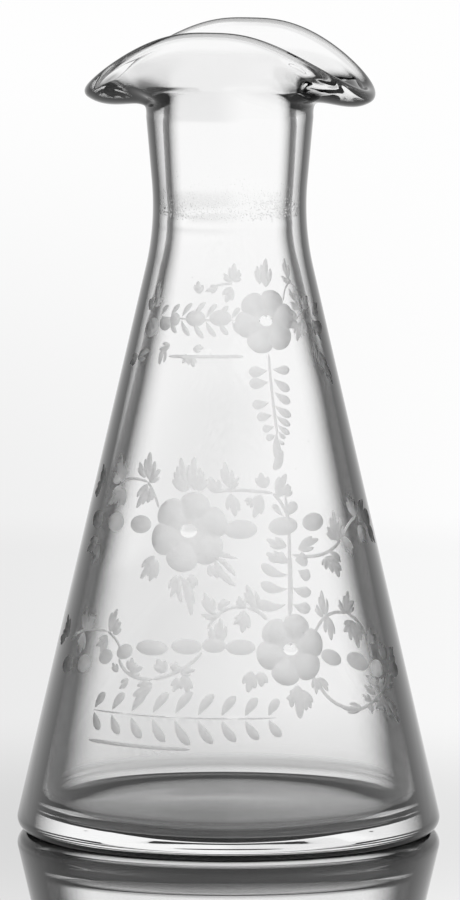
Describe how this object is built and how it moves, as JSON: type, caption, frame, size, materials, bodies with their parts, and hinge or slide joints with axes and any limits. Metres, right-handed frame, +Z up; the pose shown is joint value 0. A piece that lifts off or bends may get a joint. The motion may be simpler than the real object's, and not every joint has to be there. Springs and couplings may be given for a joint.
{
  "type": "salad dressing bottle",
  "caption": "Clear glass dressing bottle: cone body on a thick foot, short neck with a ground stopper seat, and a saddle mouth folded into two pouring lips.",
  "frame": {"origin": "centre of the flat underside of the foot", "axes": "+Z up along the neck, X through the two pouring lips, +Y towards the back of the mouth"},
  "size_m": [0.084, 0.084, 0.16],
  "materials": {
    "clear_glass": "fire-polished clear glass with frosted wheel-cut flowers, leaves and beads on the body and a ground seat in the neck"
  },
  "bodies": {
    "root": {"glass_bottle": "clear_glass"}
  },
  "joints": []
}
